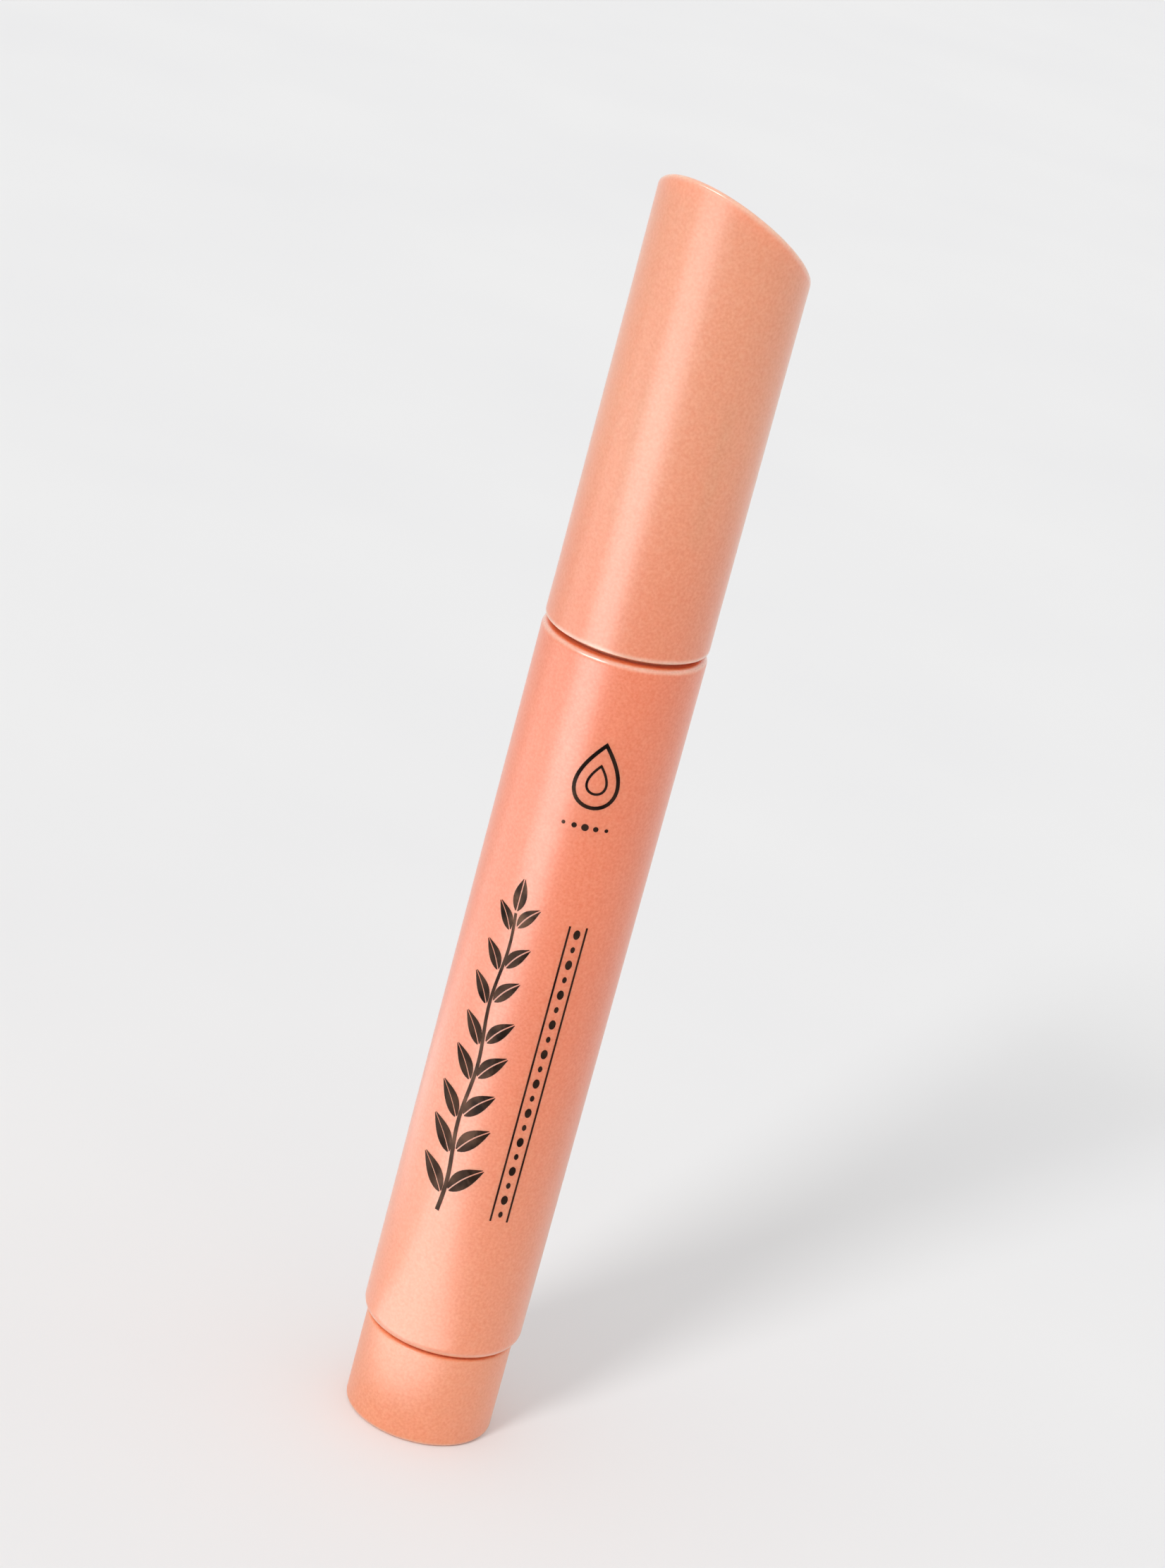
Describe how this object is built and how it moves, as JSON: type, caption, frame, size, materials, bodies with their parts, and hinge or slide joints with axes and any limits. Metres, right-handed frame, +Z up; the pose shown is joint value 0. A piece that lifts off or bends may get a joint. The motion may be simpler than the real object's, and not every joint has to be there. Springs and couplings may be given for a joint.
{
  "type": "nail oil pen",
  "caption": "Slim upright twist-up oil pen: straight barrel, narrower turning knob at the foot, pull-off cap with a slanted top over a brush tip, screw-fed piston inside.",
  "frame": {"origin": "centre of the foot of the turning knob, on the plane that the pen stands on", "axes": "+Z up along the pen's axis towards the cap, +X to the right and +Y away as the pen's printed front is seen; the cap's slanted top falls to the right and back"},
  "size_m": [0.015, 0.015, 0.1218],
  "materials": {
    "coral_shell": "satin moulded coral plastic with a soft pearl sheen",
    "natural_plastic": "natural white polypropylene, smooth",
    "acetal": "white acetal, smooth",
    "clear_plastic": "clear smooth plastic",
    "bristle": "fine pale nylon fibres",
    "seal_rubber": "soft matte rubber",
    "foil": "dark hot-stamped foil"
  },
  "bodies": {
    "barrel_body": {"barrel": "coral_shell", "neck": "coral_shell", "neck_oring": "seal_rubber", "brush_holder": "natural_plastic", "brush_ferrule": "clear_plastic", "bristles": "bristle", "feed_tube": "clear_plastic", "threaded_guide": "acetal"},
    "cap_body": {"cap_shell": "coral_shell", "cap_liner": "natural_plastic", "cap_seal": "seal_rubber"},
    "knob_body": {"knob": "coral_shell", "knob_oring": "seal_rubber", "drive_sleeve": "natural_plastic", "click_ring": "acetal"},
    "rod_body": {"piston_rod": "acetal"},
    "piston_body": {"piston": "natural_plastic"}
  },
  "joints": [
    {"name": "cap_pull", "type": "slide", "parent": "barrel_body", "child": "cap_body", "axis": [0, 0, 1], "range_m": [0, 0.045]},
    {"name": "knob_turn", "type": "hinge", "parent": "barrel_body", "child": "knob_body", "pos_m": [0, 0, 0], "axis": [0, 0, 1], "range_deg": [0, 2880], "deforming": ["click_ring"]},
    {"name": "rod_feed", "type": "slide", "parent": "knob_body", "child": "rod_body", "axis": [0, 0, 1], "range_m": [0, 0.0256]},
    {"name": "piston_feed", "type": "slide", "parent": "barrel_body", "child": "piston_body", "axis": [0, 0, 1], "range_m": [0, 0.0256]}
  ],
  "couplings": [
    {"joint": "knob_turn", "follows": "rod_feed", "rad_per_m": 1963.5},
    {"joint": "piston_feed", "follows": "rod_feed", "ratio": 1}
  ]
}
